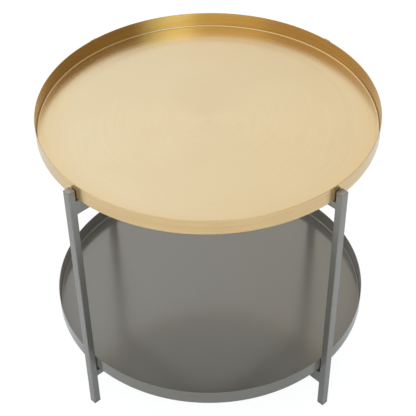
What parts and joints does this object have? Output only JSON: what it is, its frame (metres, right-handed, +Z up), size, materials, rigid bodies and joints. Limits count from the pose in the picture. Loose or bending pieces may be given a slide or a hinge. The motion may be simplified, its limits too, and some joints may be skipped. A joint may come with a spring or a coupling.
{
  "type": "two-tier coffee table",
  "caption": "Round coffee table: a gold top tray and a grey lower tray, both loose with upright rims, rest on crossed bars between upright square-tube legs.",
  "frame": {"origin": "on the floor, under the middle of the table", "axes": "+Z up along the trays' shared centre line, -Y towards the front, +X to the right seen from the front; the legs stand on the diagonals between X and Y"},
  "size_m": [0.55, 0.55, 0.4975],
  "materials": {
    "gold": "satin gold plating",
    "grey_tray": "satin metallic grey",
    "frame_paint": "fine metallic grey paint",
    "glide": "matt",
    "pad": "matt"
  },
  "bodies": {
    "frame": {"leg_front_left": "frame_paint", "leg_front_right": "frame_paint", "leg_back_left": "frame_paint", "leg_back_right": "frame_paint", "leg_cap_front_left": "frame_paint", "leg_cap_front_right": "frame_paint", "leg_cap_back_left": "frame_paint", "leg_cap_back_right": "frame_paint", "foot_glide_front_left": "glide", "foot_glide_front_right": "glide", "foot_glide_back_left": "glide", "foot_glide_back_right": "glide", "upper_deep_bar": "frame_paint", "upper_square_bar": "frame_paint", "lower_deep_bar": "frame_paint", "lower_square_bar": "frame_paint", "upper_pad_front_left": "pad", "upper_pad_front_right": "pad", "upper_pad_back_left": "pad", "upper_pad_back_right": "pad", "lower_pad_front_left": "pad", "lower_pad_front_right": "pad", "lower_pad_back_left": "pad", "lower_pad_back_right": "pad"},
    "top_tray": {"top_tray": "gold"},
    "lower_tray": {"lower_tray": "grey_tray"}
  },
  "joints": [
    {"name": "top_tray_lift", "type": "slide", "parent": "frame", "child": "top_tray", "axis": [0, 0, 1], "range_m": [0, 0.15]},
    {"name": "lower_tray_lift", "type": "slide", "parent": "frame", "child": "lower_tray", "axis": [0, 0, 1], "range_m": [0, 0.32]}
  ]
}
